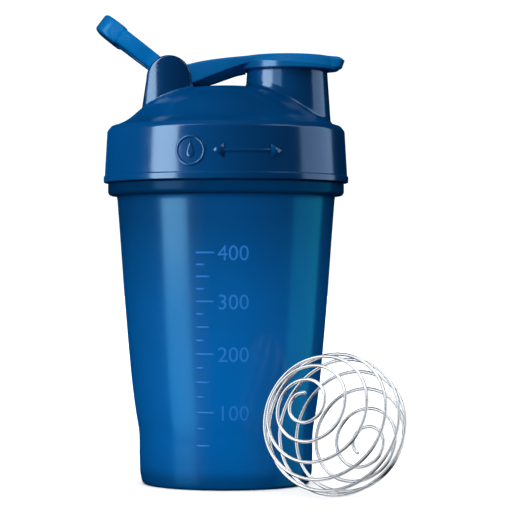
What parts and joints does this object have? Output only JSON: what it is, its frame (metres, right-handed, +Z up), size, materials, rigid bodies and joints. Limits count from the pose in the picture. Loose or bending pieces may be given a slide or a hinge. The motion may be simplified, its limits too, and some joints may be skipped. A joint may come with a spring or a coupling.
{
  "type": "protein shaker bottle",
  "caption": "Screw-top protein shaker: tapered plastic cup, domed threaded lid with off-centre spout, flip cap and swinging carry loop, and a loose wire whisk ball.",
  "frame": {"origin": "centre of the cup's round foot, on the surface it stands on", "axes": "+Z up along the cup's axis, +X from the lid's hinge towards the drinking spout, -Y the side that carries the volume scale"},
  "size_m": [0.1233, 0.1365, 0.1919],
  "materials": {
    "cup_plastic": "satin, slightly translucent royal blue polypropylene",
    "lid_plastic": "glossy deep blue polypropylene",
    "cap_plastic": "glossy blue polypropylene",
    "pin_plastic": "moulded blue nylon",
    "silicone": "pale grey food-grade silicone",
    "steel_wire": "electropolished stainless spring wire"
  },
  "bodies": {
    "cup": {"cup": "cup_plastic"},
    "seal_ring": {"lid_seal_ring": "silicone"},
    "lid": {"screw_lid": "lid_plastic", "hinge_pin": "pin_plastic"},
    "cap": {"flip_cap": "cap_plastic", "spout_seal": "silicone"},
    "loop": {"carry_loop": "cap_plastic"},
    "whisk": {"whisk_ball": "steel_wire"}
  },
  "joints": [
    {"name": "lid_lift", "type": "slide", "parent": "cup", "child": "seal_ring", "axis": [0, 0, 1], "range_m": [0, 0.0481]},
    {"name": "lid_turn", "type": "hinge", "parent": "seal_ring", "child": "lid", "pos_m": [0, 0, 0.1337], "axis": [0, 0, 1], "range_deg": [0, 1440]},
    {"name": "cap_flip", "type": "hinge", "parent": "lid", "child": "cap", "pos_m": [-0.0232, 0, 0.1662], "axis": [0, -1, 0], "range_deg": [0, 100]},
    {"name": "loop_swing", "type": "hinge", "parent": "lid", "child": "loop", "pos_m": [-0.0232, 0, 0.1662], "axis": [0, -1, 0], "range_deg": [0, 55]},
    {"name": "whisk_lift", "type": "slide", "parent": "cup", "child": "whisk", "axis": [0.401, -0.5509, 0.7319], "range_m": [0, 0.12]}
  ],
  "couplings": [
    {"joint": "lid_lift", "follows": "lid_turn", "m_per_rad": 0.0019099}
  ]
}
